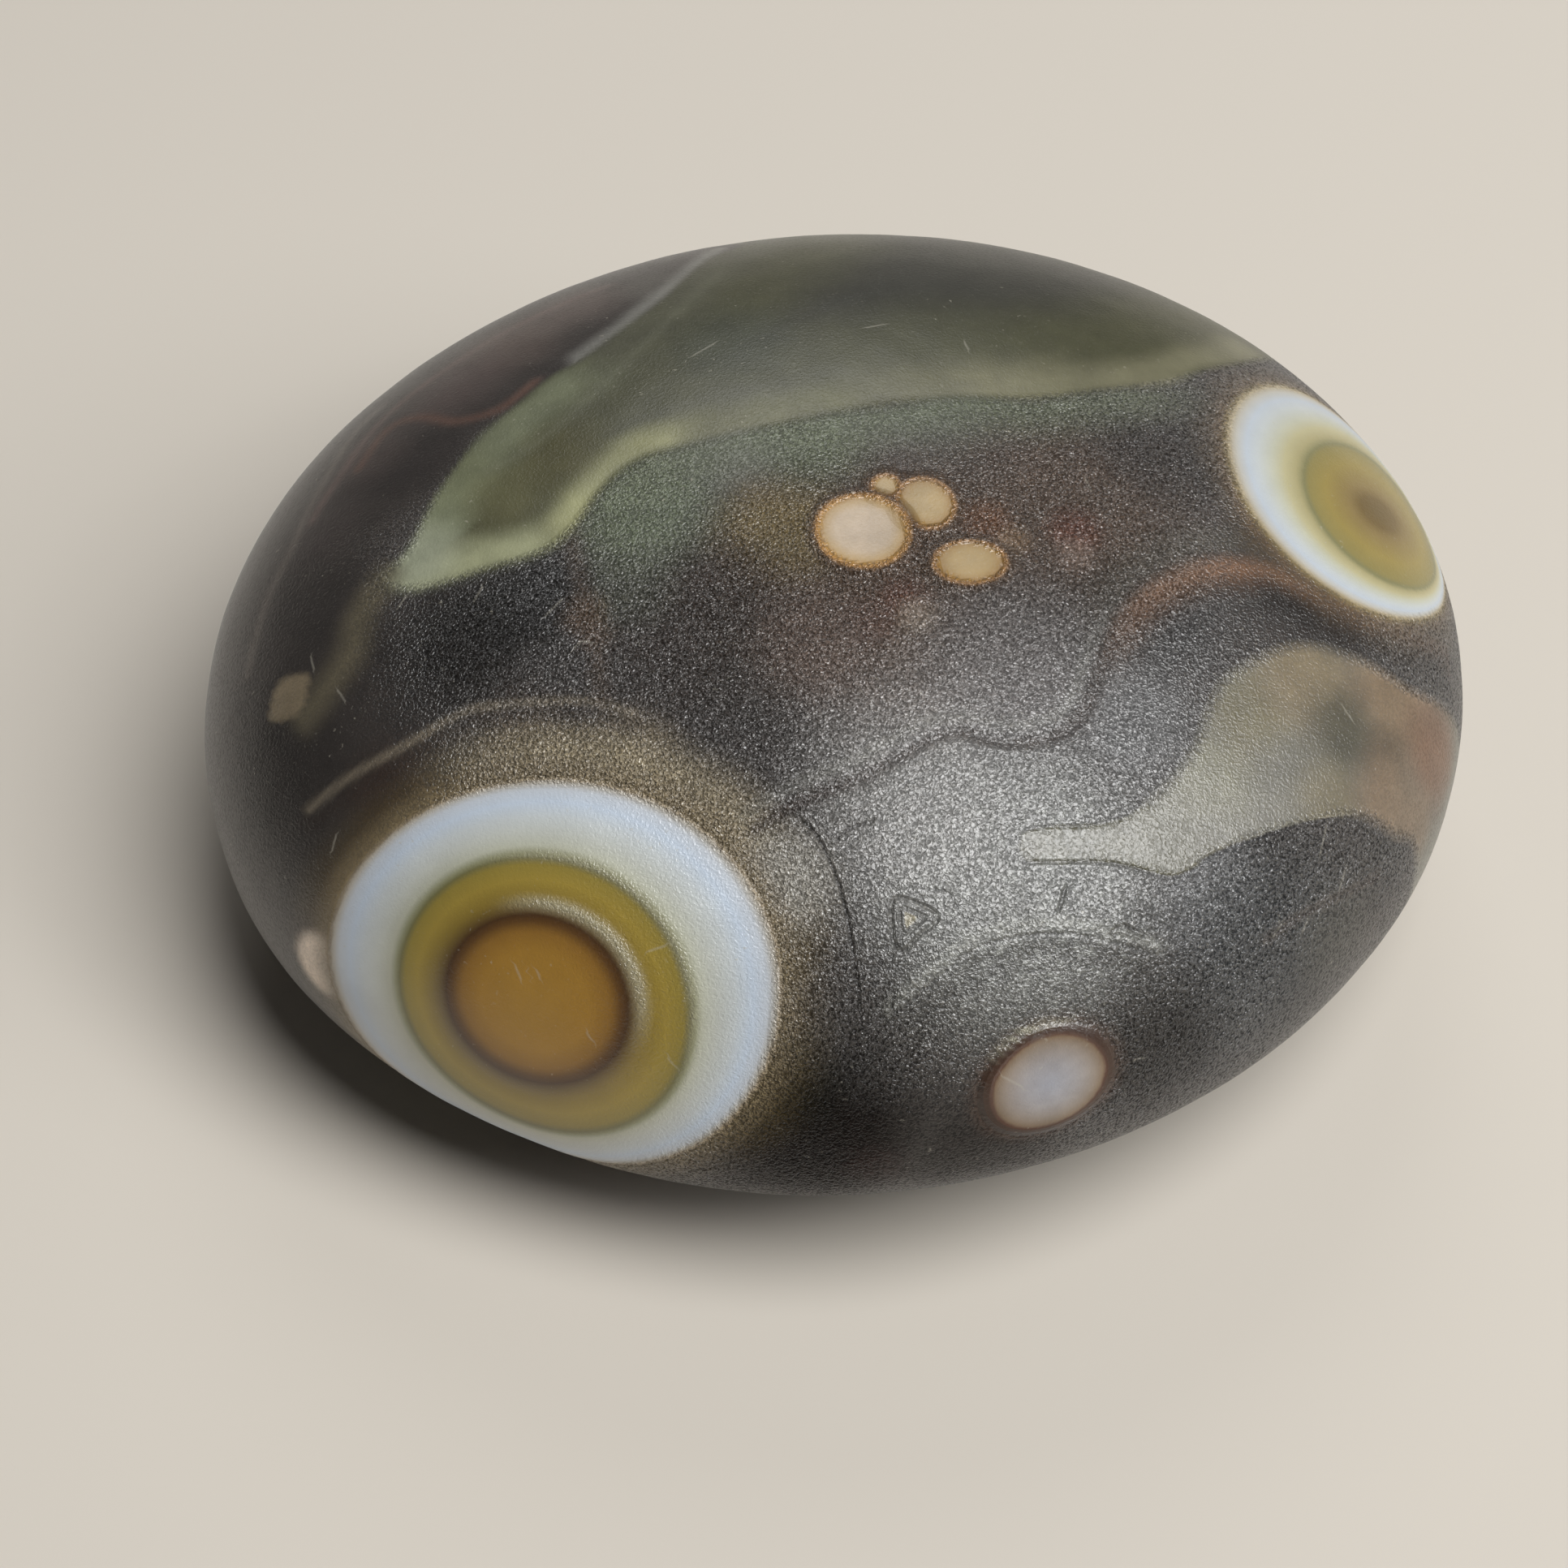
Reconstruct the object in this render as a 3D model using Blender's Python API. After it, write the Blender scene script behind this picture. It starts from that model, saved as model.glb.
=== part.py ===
"""Frog eye agate: a worn, lens-shaped pebble of one solid stone, lying on a small flat spot.

Metres, +Z up. The origin is on the resting spot's plane, under the middle of the stone's outline.
+X runs along the stone's length. The stone's widest outline lies level, BELLY - REST_WEAR above the plane.
"""

import math

import bmesh
import bpy
from mathutils import Vector

MM = 0.001

# Driving dimensions of the pebble before wear
HALF_LENGTH = 21.0 * MM
HALF_WIDTH = 18.7 * MM
CROWN = 10.0 * MM  # height of the top above the widest outline
BELLY = 7.4 * MM  # depth of the underside below the widest outline
REST_WEAR = 0.4 * MM  # depth of belly lost at the flat spot that the stone lies on
FULLNESS = 2.15  # exponent of the side's curve: 2 is an ellipse, and more makes a fuller edge

# Sides worn a little flatter than the rest. Each has the direction it faces, in degrees round from +X
# and up from level, its distance from the middle of the stone, and how softly it runs into the curve.
WORN_SIDES = {
    "front left, under the large eye": (-124.0, 28.0, 18.5 * MM, 5.0 * MM),
    "back": (113.0, -10.0, 20.9 * MM, 6.0 * MM),
    "belly, towards the back right": (35.0, -62.0, 11.6 * MM, 1.6 * MM),
}

# The two banded eyes stand slightly proud, as harder stone does when a pebble wears down.
# Each has its middle in plan, the radius of the swelling and its rise.
EYES = {
    "large eye": (-11.0 * MM, -13.0 * MM, 8.2 * MM, 0.16 * MM),
    "far eye": (17.8 * MM, -0.3 * MM, 6.4 * MM, 0.16 * MM),
}

SPHERE_SUBDIVISIONS = 5
SHARP_ANGLE = math.radians(40)

STONE_COLOUR = (0.060, 0.047, 0.038, 1.0)
STONE_ROUGHNESS = 0.48
STONE_METALLIC = 0.0


def clear_scene():
    for obj in list(bpy.data.objects):
        bpy.data.objects.remove(obj, do_unlink=True)


def lens_point(direction):
    """The unworn pebble's point towards a unit direction: crown and belly meet at one outline."""
    level = math.hypot(direction.x, direction.y)
    reach = (level**FULLNESS + abs(direction.z) ** FULLNESS) ** (-1 / FULLNESS)
    height = CROWN if direction.z > 0 else BELLY
    return Vector((HALF_LENGTH * direction.x, HALF_WIDTH * direction.y, height * direction.z)) * reach


def crown_normal(point):
    """The way that the unworn crown faces at a point on it."""
    spread = math.hypot(point.x / HALF_LENGTH, point.y / HALF_WIDTH) ** (FULLNESS - 2)
    rise = max(point.z, 0.0) ** (FULLNESS - 1) / CROWN**FULLNESS
    return Vector((spread * point.x / HALF_LENGTH**2, spread * point.y / HALF_WIDTH**2, rise)).normalized()


def crown_point(x, y):
    """The point of the unworn crown over a place in plan."""
    spread = math.hypot(x / HALF_LENGTH, y / HALF_WIDTH)
    return Vector((x, y, CROWN * (1 - spread**FULLNESS) ** (1 / FULLNESS)))


def swell(point, eye):
    """Lifts a point that lies within an eye, most at its middle and not at all at its edge."""
    x, y, radius, rise = eye
    share = (point - crown_point(x, y)).length / radius
    if share >= 1:
        return point
    return point + crown_normal(point) * rise * (1 - share**2) ** 2


def wear(point, side):
    """Presses a point back to a flat side. Within the softness of the flat it goes back by a parabola."""
    azimuth, elevation, distance, softness = side
    azimuth, elevation = math.radians(azimuth), math.radians(elevation)
    level = math.cos(elevation)
    normal = Vector((math.cos(azimuth) * level, math.sin(azimuth) * level, math.sin(elevation)))
    over = point.dot(normal) - distance
    if over <= -softness:
        return point
    if over >= softness:
        return point - normal * over
    return point - normal * (over + softness) ** 2 / (4 * softness)


def pebble_point(direction):
    point = lens_point(direction)
    for eye in EYES.values():
        point = swell(point, eye)
    for side in WORN_SIDES.values():
        point = wear(point, side)
    return point


def centre_in_plan(bm):
    """Moves the stone so that the middle of its outline is over the origin."""
    for axis in (0, 1):
        places = [vertex.co[axis] for vertex in bm.verts]
        middle = (min(places) + max(places)) / 2
        for vertex in bm.verts:
            vertex.co[axis] -= middle


def stand_on_flat_spot(bm):
    """Sets the stone on z = 0 and flattens what reaches lower, which is the resting spot."""
    for vertex in bm.verts:
        vertex.co.z = max(vertex.co.z + BELLY - REST_WEAR, 0.0)


def stone_material():
    material = bpy.data.materials.new("agate")
    material.use_nodes = True
    shader = material.node_tree.nodes["Principled BSDF"]
    shader.inputs["Base Color"].default_value = STONE_COLOUR
    shader.inputs["Roughness"].default_value = STONE_ROUGHNESS
    shader.inputs["Metallic"].default_value = STONE_METALLIC
    return material


def build_pebble():
    bm = bmesh.new()
    bmesh.ops.create_icosphere(bm, subdivisions=SPHERE_SUBDIVISIONS, radius=1.0)
    for vertex in bm.verts:
        vertex.co = pebble_point(vertex.co.normalized())
    centre_in_plan(bm)
    stand_on_flat_spot(bm)
    bmesh.ops.recalc_face_normals(bm, faces=bm.faces)
    mesh = bpy.data.meshes.new("pebble")
    bm.to_mesh(mesh)
    bm.free()
    mesh.shade_smooth()
    mesh.set_sharp_from_angle(angle=SHARP_ANGLE)
    mesh.materials.append(stone_material())
    pebble = bpy.data.objects.new("pebble", mesh)
    bpy.context.scene.collection.objects.link(pebble)


clear_scene()
build_pebble()
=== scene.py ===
"""Frog eye agate, dressed: a frosted, banded pebble with two large ringed eyes and five round spots.

Metres, +Z up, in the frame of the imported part. The skin repeats the pebble's form on a finer mesh,
adds the low relief of eyes, spots and cracks, and carries the stone's colours.

Places are pixels of the 1932 px photograph, and each is laid on the stone where the camera sees it.
Those in HIDDEN_LOOPS are directions from the stone's middle: degrees round from +X, and degrees up
from level. Lengths in the tables of marks are millimetres.
"""

import math
from functools import cache

import bpy
import numpy as np
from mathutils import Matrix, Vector, noise
from mathutils.bvhtree import BVHTree


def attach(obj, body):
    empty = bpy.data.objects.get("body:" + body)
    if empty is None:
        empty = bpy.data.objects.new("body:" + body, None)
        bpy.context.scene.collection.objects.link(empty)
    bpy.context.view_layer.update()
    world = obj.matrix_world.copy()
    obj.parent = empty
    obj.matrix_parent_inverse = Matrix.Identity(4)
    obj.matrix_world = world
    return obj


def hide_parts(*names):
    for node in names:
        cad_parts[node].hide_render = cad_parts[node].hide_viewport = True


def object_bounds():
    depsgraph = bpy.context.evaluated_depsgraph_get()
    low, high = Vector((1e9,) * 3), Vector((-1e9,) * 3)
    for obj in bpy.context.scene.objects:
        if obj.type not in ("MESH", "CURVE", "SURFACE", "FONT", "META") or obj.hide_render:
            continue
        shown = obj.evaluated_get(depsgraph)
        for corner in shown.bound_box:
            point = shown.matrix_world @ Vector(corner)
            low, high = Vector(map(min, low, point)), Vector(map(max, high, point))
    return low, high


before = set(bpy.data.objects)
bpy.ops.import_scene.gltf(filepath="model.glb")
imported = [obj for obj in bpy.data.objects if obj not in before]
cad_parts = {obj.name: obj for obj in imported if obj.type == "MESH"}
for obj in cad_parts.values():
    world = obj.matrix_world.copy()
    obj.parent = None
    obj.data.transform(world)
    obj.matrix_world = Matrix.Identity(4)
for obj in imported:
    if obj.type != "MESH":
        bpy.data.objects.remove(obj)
CAD_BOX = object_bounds()

MM = 0.001
PEBBLE_NODE = "pebble"

# The pebble's form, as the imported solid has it
HALF_LENGTH = 21.0 * MM
HALF_WIDTH = 18.7 * MM
CROWN = 10.0 * MM
BELLY = 7.4 * MM
REST_WEAR = 0.4 * MM
FULLNESS = 2.15
WORN_SIDES = {
    "front left, under the near eye": (-124.0, 28.0, 18.5 * MM, 5.0 * MM),
    "back": (113.0, -10.0, 20.9 * MM, 6.0 * MM),
    "belly, towards the back right": (35.0, -62.0, 11.6 * MM, 1.6 * MM),
}
SWELLINGS = {
    "near eye": (-11.0 * MM, -13.0 * MM, 8.2 * MM, 0.16 * MM),
    "far eye": (17.8 * MM, -0.3 * MM, 6.4 * MM, 0.16 * MM),
}

# The skin's mesh: a cube's faces blown up to a sphere, then to the pebble
CUBE_STEPS = 128
POLE_STRETCH = 1.4  # draws points from the rim to the crown and belly
CROWN_SHARE = 0.25  # draws points from the belly to the crown

# The skin lies a little under the solid's surface, and what is proud rises towards it
SKIN_DEPTH = 0.05 * MM
SKIN_FULL_HEIGHT = 1.5 * MM  # below this height the skin runs out to the solid's resting spot
UNEVENNESS = 0.022 * MM
UNEVEN_PERIOD = 3.2 * MM

# The skin's grain and gloss
GRAIN_PERIOD = 0.095 * MM
GRAIN_HEIGHT = 0.040 * MM
PIT_ROUGHNESS = 0.56
RIDGE_ROUGHNESS = 0.29
SMOOTH_ROUGHNESS = 0.36
# The grain's pits reflect less under a painted shade
SHADED_PIT_SHINE = 0.15  # what the grain's pits reflect, where its ridges reflect 1
SMOOTH_SHINE = 0.68
GLOSS = {"Sheen Weight": 0.12, "Sheen Roughness": 0.3, "IOR": 1.65, "Specular IOR Level": 1.0}

# The photograph's camera
PICTURE_SIDE = 1932.0
SENSOR_MM = 36.0
LENS_MM = 77.94
CAMERA_AZIMUTH = math.radians(-11.44)
CAMERA_ELEVATION = math.radians(53.0)
CAMERA_DISTANCE = 110.0 * MM
CAMERA_AIM = Vector((-2.614, -4.123, 8.0)) * MM
CLIP_START = 5.0 * MM

# The studio. Each light has its direction in degrees round from +X and up from level, its width and
# height at LIGHT_DISTANCE from the stone, and its watts.
FLOOR_HALF = 0.6
FLOOR_COLOUR = "d0c9be"
FLOOR_ROUGHNESS = 0.9
LIGHTS = {
    "softbox": (-38.0, 66.0, 0.28, 0.44, 2.4),
    "front": (-35.0, 36.0, 0.2, 0.2, 0.55),
    "back": (80.0, 45.0, 0.24, 0.24, 0.35),
}
LIGHT_DISTANCE = 0.5
GLOW_COLOUR = (1.0, 0.98, 0.95, 1.0)
GLOW = 0.05

# Round marks. Each has its middle in plan and its rings from the inside out. A ring has its shift
# from the middle along the level and up the slope, its two half axes, and its turn in degrees.
ROUND_MARKS = {
    "near eye": ((-11.8, -12.5), (
        (0.0, -0.39, 2.94, 2.64, 20.0),
        (0.10, -0.49, 4.86, 4.55, 22.0),
        (-0.03, -0.19, 7.57, 6.39, 28.0),
    )),
    "far eye": ((17.9, -0.66), (
        (0.0, 0.0, 1.35, 1.1, 100.0),
        (0.16, -0.11, 3.34, 2.96, 131.0),
        (0.91, 0.68, 4.78, 5.36, 62.0),
    )),
    "front spot": ((2.66, -17.93), ((0.0, 0.0, 1.84, 1.62, 12.0),)),
    "large spot": ((0.37, -1.63), ((0.0, 0.0, 1.40, 1.44, 25.0),)),
    "middle spot": ((2.53, -0.90), ((0.0, 0.0, 0.98, 0.86, 25.0),)),
    "small spot": ((3.36, -3.38), ((0.0, 0.0, 1.08, 0.78, -45.0),)),
    "tiny spot": ((1.45, 0.0), ((0.0, 0.0, 0.42, 0.38, 0.0),)),
}
SPOT_GROUP = ("large spot", "middle spot", "small spot", "tiny spot")

# Bands with a closed edge: through picture places, then on round the hidden sides. Their inside lies to
# the left of the way round.
PICTURE_LOOPS = {
    "green tongue": (
        (900, 300), (870, 320), (800, 380), (720, 440), (680, 460), (620, 510), (570, 560), (530, 620),
        (500, 680), (472, 712), (510, 722), (600, 700), (660, 682), (700, 655), (740, 605), (800, 562),
        (900, 536), (1000, 514), (1100, 494), (1200, 490), (1300, 488), (1420, 474), (1490, 458), (1545, 446),
    ),
    "cream band": (
        (1785, 875), (1740, 850), (1680, 815), (1600, 795), (1520, 830), (1490, 880), (1470, 930),
        (1420, 985), (1370, 1012), (1290, 1018), (1262, 1026), (1258, 1045), (1275, 1063), (1370, 1063),
        (1450, 1080), (1500, 1050), (1600, 1015), (1680, 1005), (1720, 1030), (1745, 1048),
    ),
    "left rhomb": ((380, 838), (372, 829), (342, 841), (331, 886), (358, 885), (374, 866)),
    "triangle": ((1157, 1129), (1132, 1113), (1102, 1106), (1099, 1138), (1107, 1174), (1134, 1152)),
}
HIDDEN_LOOPS = {
    "green tongue": ((28, 2), (34, -22), (55, -44), (85, -46), (112, -30), (112, -5)),
    "cream band": ((-37, -12), (-40, -34), (-27, -50), (-12, -36), (-16, -12)),
}

PICTURE_LINES = {
    "cream band, crisp edge": (
        (1385, 1008), (1340, 1017), (1290, 1018), (1262, 1026), (1258, 1045), (1275, 1063), (1370, 1063),
        (1450, 1080), (1500, 1050), (1600, 1015), (1650, 1006),
    ),
    "wavy line": (
        (930, 1022), (967, 998), (1010, 977), (1060, 958), (1110, 930), (1150, 908), (1185, 902), (1230, 912),
        (1275, 912), (1320, 895), (1345, 862), (1362, 810), (1395, 750), (1440, 715), (1500, 695),
        (1580, 705), (1680, 762), (1782, 805),
    ),
    "arc over the near eye": (
        (380, 1000), (430, 960), (500, 920), (560, 885), (600, 872), (720, 865), (780, 880),
    ),
    "arc over the front spot": (
        (1105, 1250), (1150, 1210), (1200, 1170), (1250, 1155), (1300, 1150), (1350, 1156), (1420, 1175),
    ),
    "seam": ((702, 655), (714, 700), (724, 745), (738, 800), (742, 860)),
    "tail of the tongue": ((478, 705), (440, 760), (430, 800), (400, 850), (372, 885)),
    "streak in the tongue": ((600, 580), (649, 552), (711, 503), (793, 424), (838, 380), (888, 333)),
    "facet line": ((890, 306), (842, 345), (793, 383), (766, 406), (720, 438)),
    "rim streak, upper": ((745, 352), (690, 375), (600, 420), (520, 475), (450, 540), (385, 640)),
    "red streak": ((658, 468), (614, 503), (560, 520), (515, 514), (478, 528), (440, 575)),
    "rim streak, lower": ((470, 500), (430, 540), (370, 650), (330, 740), (305, 830)),
    "lower right line": ((1560, 1160), (1600, 1130), (1650, 1105), (1700, 1078)),
    "under the far eye": ((1570, 735), (1650, 770), (1720, 800), (1780, 822)),
}

# Fine grooves, with their strength, and pale scratches. No line comes within 0.6 mm of another of its table.
PICTURE_CRACKS = {
    "long crack": (
        0.9,
        ((990, 1012), (1007, 1030), (1024, 1065), (1038, 1105), (1050, 1167), (1056, 1210), (1060, 1250)),
    ),
    "over the cream band's end": (0.4, ((1385, 1008), (1340, 1017), (1290, 1018), (1264, 1022))),
    "under the cream band's end": (
        0.5,
        ((1268, 1062), (1370, 1063), (1450, 1080), (1500, 1050), (1600, 1015)),
    ),
    "arc over the front spot": (0.3, PICTURE_LINES["arc over the front spot"]),
    "beside the long crack": (0.7, ((1102, 1225), (1099, 1240), (1098, 1256))),
    "branch to the right": (0.7, ((1034, 1030), (1048, 1020), (1075, 1012))),
    "under the cream band": (0.7, ((1312, 1095), (1309, 1108), (1305, 1120))),
    "dash on the right": (0.7, ((1370, 1147), (1386, 1140), (1402, 1150))),
    "dash above the triangle": (0.3, ((1150, 1096), (1168, 1100), (1176, 1112))),
    "lower right line": (0.7, PICTURE_LINES["lower right line"]),
}
PICTURE_FOLDS = {
    "wavy line": (1.0, PICTURE_LINES["wavy line"][:14]),
    "arc over the near eye": (0.7, PICTURE_LINES["arc over the near eye"]),
}
PICTURE_SCRATCHES = (
    ((500, 733), (490, 748)), ((594, 722), (584, 738)), ((692, 738), (672, 757)),
    ((705, 800), (716, 789), (728, 791)), ((382, 810), (386, 824)), ((415, 850), (424, 862)),
    ((413, 1030), (408, 1048)), ((882, 421), (852, 438)), ((1068, 402), (1090, 398)),
    ((1188, 420), (1194, 430)), ((636, 1188), (644, 1206)), ((662, 1194), (668, 1204)),
    ((822, 1302), (833, 1316)), ((800, 1172), (820, 1165)), ((724, 1270), (732, 1282)),
    ((1635, 1018), (1628, 1052)), ((1660, 1068), (1652, 1092)), ((1612, 1134), (1606, 1148)),
    ((1580, 1140), (1570, 1152)), ((1655, 870), (1668, 888)), ((1338, 590), (1344, 602)),
    ((1400, 1306), (1412, 1304)), ((1236, 1326), (1262, 1340)),
)
STROKE_TAPER = 0.25 * MM  # how far past its end a fine line runs out
STROKE_REACH = (0.2 * MM, 0.3 * MM)  # where a fine line's influence begins and ends to fade
STROKE_LIMIT = 9.0 * MM  # the distance given to points farther than this from every fine line

# Terraces: the stone to the left of a line stands higher by a drop, reached over a width
TERRACES = {
    "wavy line": (0.015, 0.5),
    "arc over the near eye": (0.022, 0.4),
    "arc over the front spot": (0.06, 0.6),
}

# How deep the grain is round a place: place, radius and depth, where 1 is the frost in the middle
GROUND_GRAIN = 4.5
PICTURE_GRAIN = (
    # frosted top
    ((1250, 1040), 8.5, 1.15), ((1450, 900), 5.0, 1.5), ((1600, 720), 5.0, 0.9),
    ((1100, 480), 6.5, 1.0), ((880, 560), 3.5, 0.8),
    # under the tongue
    ((790, 630), 3.0, 1.4), ((560, 720), 2.2, 1.6), ((610, 800), 3.2, 3.6),
    # front and left end
    ((1040, 1300), 2.6, 6.5), ((480, 960), 3.0, 1.6), ((1170, 1420), 4.5, 1.2),
    ((965, 1075), 2.0, 3.0),
    # left and upper left rims
    ((330, 800), 5.5, 0.3), ((330, 980), 4.5, 0.3), ((480, 570), 4.5, 0.3), ((650, 440), 4.5, 0.3),
    ((820, 360), 4.5, 0.3),
    # lower right
    ((1650, 1200), 4.5, 1.6),
)
BAND_GRAIN = {"green tongue": 0.25, "cream band": 0.55}
EDGE_GRAIN = 0.3  # towards the outline and past it, and at the back
LEFT_GRAIN = 0.5
MARK_GRAIN = 0.25
RIM_HIGHLIGHT_GRAIN = 2.5

# Painted shade that dims the dark ground's reflection: place, radius and what is left of the shine
PICTURE_REFLECTION_SHADE = (
    ((1000, 1410), 4.6, 0.0), ((1210, 1430), 3.5, 0.3), ((1430, 1310), 3.0, 0.45), ((590, 800), 2.6, 0.45),
)

# Soft patches of colour, in the order they are painted: place, radius, colour and strength. The tongue's
# run from its tip, the cream band's from its end, and the sage glow's have one colour.
PICTURE_PATCHES = (
    # black-brown front, darkened partly with painted shade
    ((1040, 1395), 4.2, "120d0b", 0.95), ((1190, 1420), 3.0, "150f0c", 0.9),
    ((960, 1330), 2.2, "1a1a12", 0.7), ((1080, 1440), 1.3, "2a1b18", 0.6),
    # pale veil of frost, partly a painted sheen
    ((1110, 860), 3.6, "6d6966", 0.8), ((1250, 1090), 5.6, "6b6c68", 0.75),
    ((1120, 1000), 4.2, "6d6b67", 0.75), ((1240, 1190), 3.2, "5a5954", 0.6),
    ((1400, 890), 2.4, "5b5b5b", 0.6),
    # under the cream band: pale grey, then painted shade at the band's foot
    ((1500, 1110), 2.4, "757575", 0.8), ((1710, 1068), 1.8, "1a1817", 0.8),
    # blue-black lower right
    ((1560, 1180), 5.0, "1d2124", 0.85), ((1420, 1290), 3.0, "17130f", 0.75),
    ((1650, 1150), 2.2, "3c3b34", 0.6),
    # brown knot in the seam
    ((716, 752), 1.0, "63492f", 0.8), ((735, 780), 0.8, "54402e", 0.6),
    # warm brown round the spots
    ((1080, 700), 6.0, "4a3624", 0.75), ((960, 650), 2.6, "6b5c38", 0.8),
    ((900, 730), 2.6, "32251a", 0.7), ((1330, 620), 5.0, "4e3c2d", 0.75),
    ((1430, 550), 3.0, "1e150f", 0.75), ((850, 790), 3.2, "281e16", 0.8),
    # red blotches near the spots
    ((1325, 652), 1.1, "5c3223", 0.6), ((1115, 737), 1.0, "573325", 0.6),
    ((1070, 765), 1.1, "4c2e20", 0.55), ((1215, 640), 1.0, "69442a", 0.6),
    # pale blotches near the spots
    ((1130, 757), 0.8, "8a7c6c", 0.6), ((1325, 682), 0.8, "7d6a5e", 0.55),
    ((1250, 665), 0.7, "836a50", 0.5),
    # veils below the spots; the grey one in the middle is partly a painted sheen
    ((1010, 790), 2.4, "56473e", 0.75), ((1250, 810), 3.6, "625e5c", 0.75),
    ((1440, 770), 2.4, "2f2e2e", 0.6),
    # black left of the seam
    ((560, 790), 3.2, "0d0907", 0.9), ((655, 735), 2.6, "0c0907", 0.9),
    # left rim
    ((330, 960), 4.0, "211d1b", 0.8), ((380, 760), 2.6, "2b2725", 0.7),
    ((500, 560), 2.4, "2c2726", 0.7),
    # brown under the near arc
    ((640, 905), 2.0, "33251a", 0.6), ((480, 980), 2.0, "33251c", 0.6),
    ((770, 920), 1.8, "4a3f32", 0.6),
    # grey-brown upper left
    ((620, 425), 2.6, "5a4d47", 0.8), ((560, 475), 2.4, "4f4340", 0.8),
    ((710, 375), 2.2, "5a4e49", 0.8), ((805, 350), 1.5, "75726a", 0.3),
    ((455, 560), 2.0, "453b38", 0.7), ((400, 650), 2.0, "3b3432", 0.7),
)
TONGUE_PATCHES = (
    ((510, 690), 1.9, "9ca089", 0.9), ((575, 590), 1.9, "6d7055", 0.7),
    ((625, 610), 1.8, "5c5a3c", 0.8), ((690, 560), 2.0, "4a4728", 0.8),
    ((900, 420), 2.6, "393d31", 0.6),
)
CREAM_PATCHES = (
    ((1330, 1040), 2.4, "545242", 1.0), ((1420, 1040), 2.2, "54513f", 1.0),
    ((1490, 960), 2.0, "6e6b58", 0.8), ((1540, 880), 2.0, "676048", 0.8),
    ((1610, 835), 2.4, "7d7058", 0.9), ((1720, 860), 2.6, "7a6954", 1.0),
    ((1770, 930), 2.4, "6e533f", 1.0), ((1600, 950), 1.6, "68655a", 0.8),
    ((1655, 900), 1.7, "4a473a", 0.85), ((1710, 935), 1.3, "4f4334", 0.7),
    ((1640, 985), 1.6, "756c55", 0.7), ((1710, 990), 2.0, "796753", 0.9),
    ((1745, 1020), 1.6, "73624f", 0.9),
)
PICTURE_SAGE = (
    ((790, 625), 2.9, 0.9), ((770, 720), 1.9, 0.25), ((870, 590), 2.0, 0.15), ((1000, 545), 2.4, 0.65),
    ((1150, 520), 2.2, 0.15),
)
FROST_PLACE = (1270, 1110)
# A painted sheen beside the near eye's upper right edge: place, radius, colour and strength
HALO_PAINTED_SHEEN = ((965, 1085), 1.9, "8f8c84", 0.7)
KNOB_PLACE = (395, 1190)
CREAM_MIDDLE = (1640, 940)
CREAM_REACH = 14.0  # beyond this from its middle the cream band ends

# Stripes of colour beside a line: the line, how far right of it, how much the stripe sways, its half
# width, its edge's width, how far past the line's end it fades (0: no fade), colour and strength
STRIPES = {
    "upper left": (
        ("facet line", 0.2, 0.0, 0.3, 0.8, 1.5, "8a8982", 0.7),
        ("rim streak, upper", 0.0, 0.5, 0.12, 0.6, 2.0, "6c5852", 0.75),
        ("rim streak, lower", 0.0, 0.5, 0.12, 0.6, 2.0, "686058", 0.75),
        ("red streak", 0.0, 0.5, 0.12, 0.6, 2.0, "6b4d40", 0.75),
    ),
    "near arc": (
        ("arc over the near eye", -0.05, 0.0, 0.12, 0.34, 0.8, "766c5c", 0.8),
        ("arc over the near eye", 0.45, 0.0, 0.2, 0.5, 0.8, "2d211a", 0.4),
    ),
    "seam": (("seam", 0.0, 0.4, 0.2, 0.7, 1.0, "4a3a2b", 0.6),),
    "tongue": (("streak in the tongue", 0.0, 0.0, 0.12, 0.7, 1.5, "6a6b58", 0.45),),
    "tail": (("tail of the tongue", 0.0, 1.0, 0.5, 1.3, 0.9, "5d5644", 0.85),),
    "wavy, grey": (("wavy line", -0.9, 0.0, 0.5, 1.4, 0.0, "4a463d", 0.6),),
    "wavy, near": (
        # A painted highlight on the groove's lit upper wall, then the line's dark brown, deepened partly with
        # painted shade
        ("wavy line", -0.55, 0.0, 0.14, 0.5, 0.5, "75746d", 0.45),
        ("wavy line", 0.0, 0.0, 0.18, 0.5, 0.5, "2c2018", 0.85),
    ),
    "wavy, far": (("wavy line", 0.2, 0.0, 0.4, 0.8, 0.5, "73543d", 0.85),),
    "wavy, brown": (("wavy line", 0.7, 0.0, 0.3, 0.9, 0.0, "45301f", 0.6),),
    "low": (
        ("under the far eye", 0.0, 1.0, 0.7, 1.6, 2.0, "1a1512", 0.9),
        # Over the front spot's arc: a painted highlight above the terrace and painted shade below it
        ("arc over the front spot", -0.3, 0.0, 0.15, 0.5, 0.6, "8a8a82", 0.6),
        ("arc over the front spot", 0.55, 0.0, 0.35, 0.9, 0.6, "35332f", 0.55),
        ("lower right line", 0.0, 0.0, 0.1, 0.4, 0.6, "4b3d33", 0.6),
    ),
}

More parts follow.
